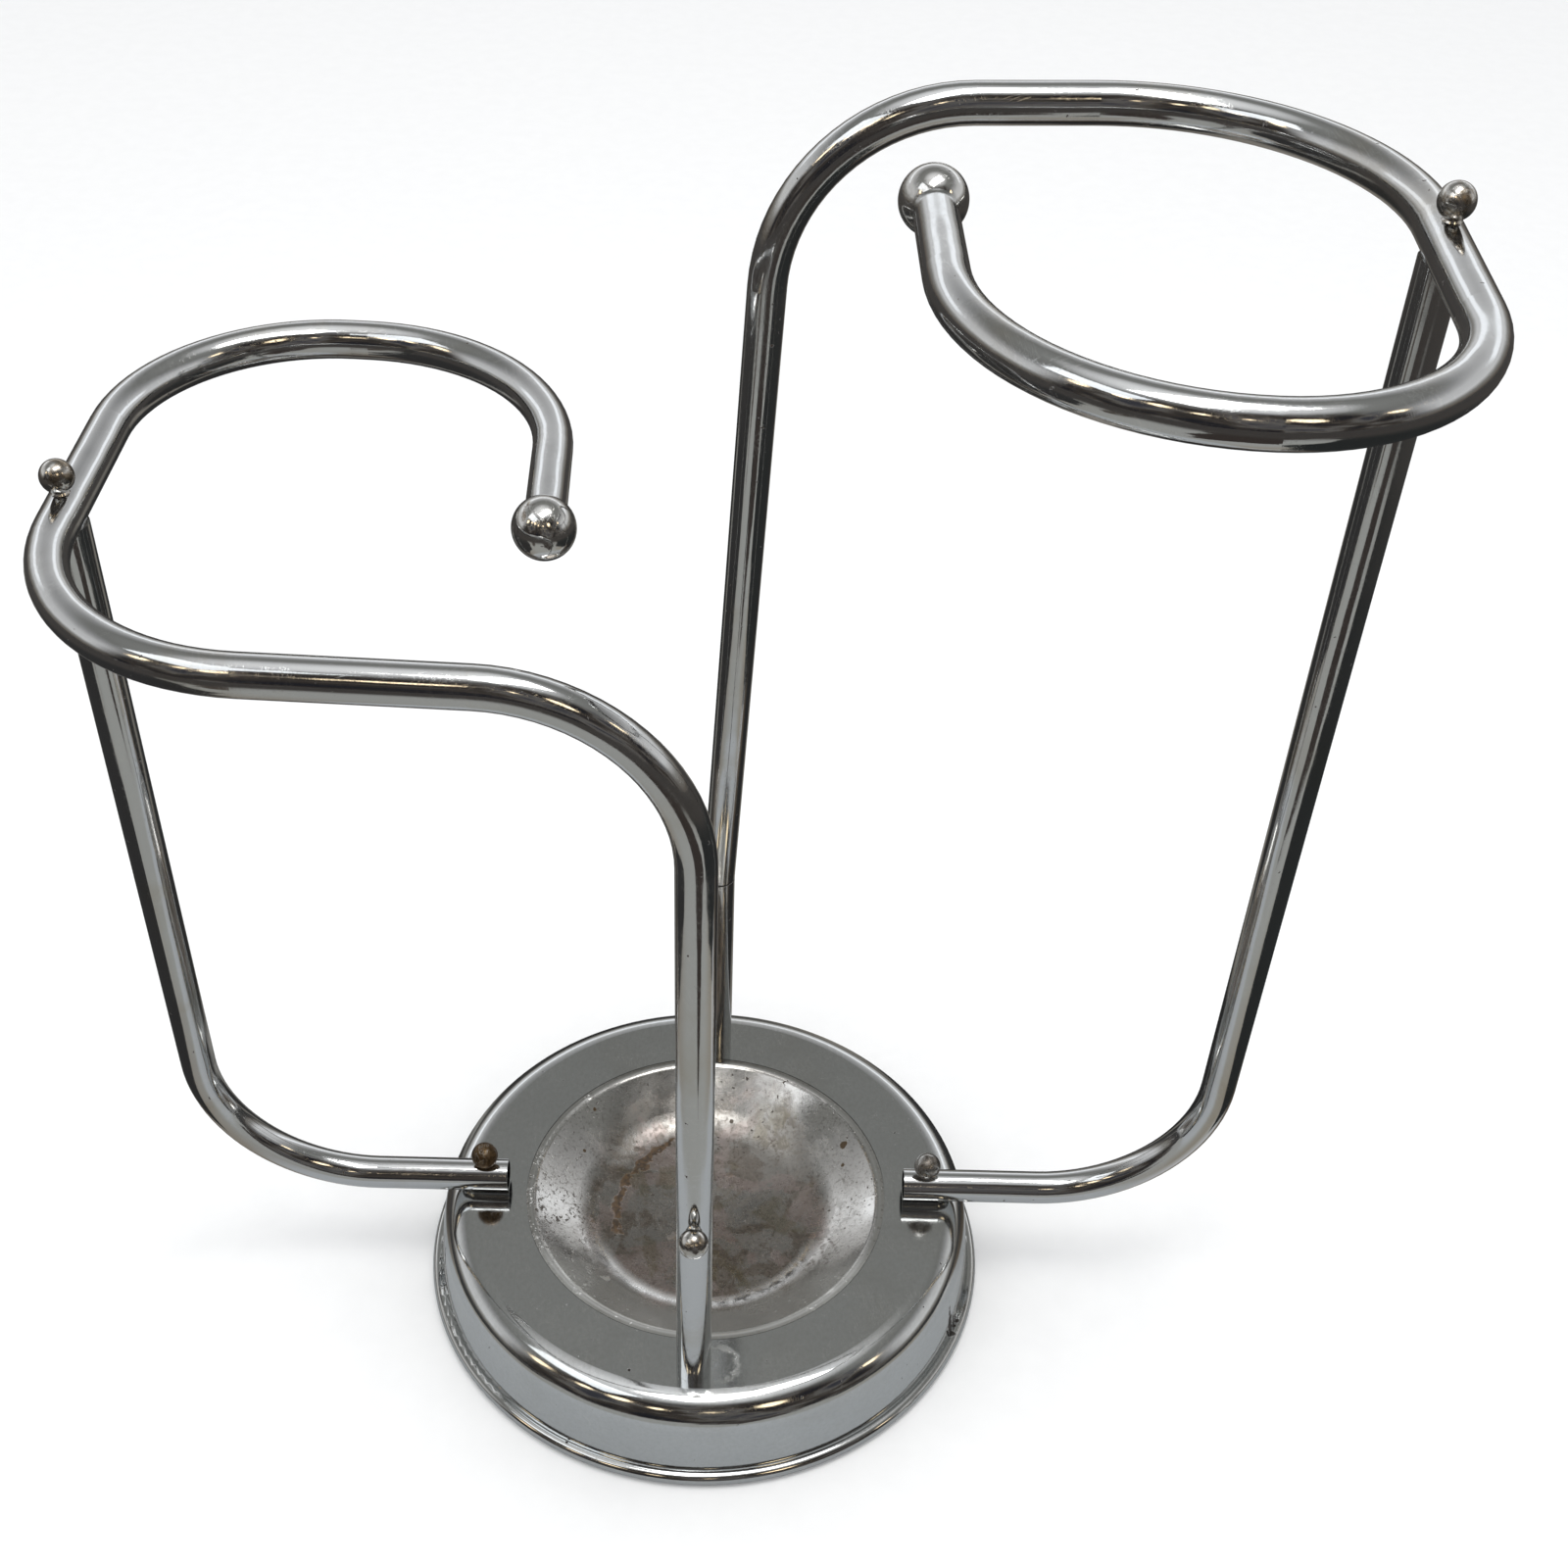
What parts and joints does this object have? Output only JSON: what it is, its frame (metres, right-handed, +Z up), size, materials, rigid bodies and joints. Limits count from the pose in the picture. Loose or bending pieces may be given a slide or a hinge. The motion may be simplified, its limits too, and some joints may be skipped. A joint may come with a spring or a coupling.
{
  "type": "umbrella stand",
  "caption": "Free-standing umbrella stand: two open hooks of bent chromed tube at different heights over a round weighted foot with a drip bowl.",
  "frame": {"origin": "centre of the round foot, at the height of the floor it rests on", "axes": "+Z up; +X towards the tall hook and its support; -Y towards the post of the short hook"},
  "size_m": [0.5016, 0.2888, 0.5741],
  "materials": {
    "hook_chrome": "worn bright chrome plate on bent steel tube, fine scratches",
    "foot_chrome": "bright chrome plate on pressed steel, clean on the ring, chipped on the skirt",
    "bowl_worn": "chrome worn dull, with rust stains and pits",
    "ball_chrome": "polished chrome on turned steel",
    "ball_tarnished": "brass with its plating worn off, brown",
    "bare_steel": "plain turned steel, lightly oiled",
    "fastener_zinc": "zinc plated",
    "cast_iron": "rough casting, black",
    "felt": "dark green felt"
  },
  "bodies": {
    "stand": {"base_shell": "foot_chrome", "ballast_ring": "cast_iron", "bottom_plate": "bare_steel", "plate_screws": "fastener_zinc", "felt_pad": "felt", "short_hook_tube": "hook_chrome", "tall_hook_tube": "hook_chrome", "tall_post_extension": "hook_chrome", "short_hook_ball": "ball_chrome", "tall_hook_ball": "ball_chrome", "left_support_tube": "hook_chrome", "right_support_tube": "hook_chrome", "left_support_plug": "bare_steel", "right_support_plug": "bare_steel", "front_foot_rod": "bare_steel", "rear_foot_rod": "bare_steel", "rod_nuts": "fastener_zinc", "rod_washers": "fastener_zinc", "support_nuts": "fastener_zinc", "support_washers": "fastener_zinc", "left_support_bolt": "ball_tarnished", "right_support_bolt": "ball_chrome", "left_top_bolt": "ball_chrome", "right_top_bolt": "ball_chrome", "front_lock_screw": "ball_chrome", "rear_lock_screw": "ball_chrome"},
    "bowl": {"drip_bowl": "bowl_worn"}
  },
  "joints": [
    {"name": "drip_bowl_lift", "type": "slide", "parent": "stand", "child": "bowl", "axis": [0, 0, 1], "range_m": [0, 0.25]}
  ]
}
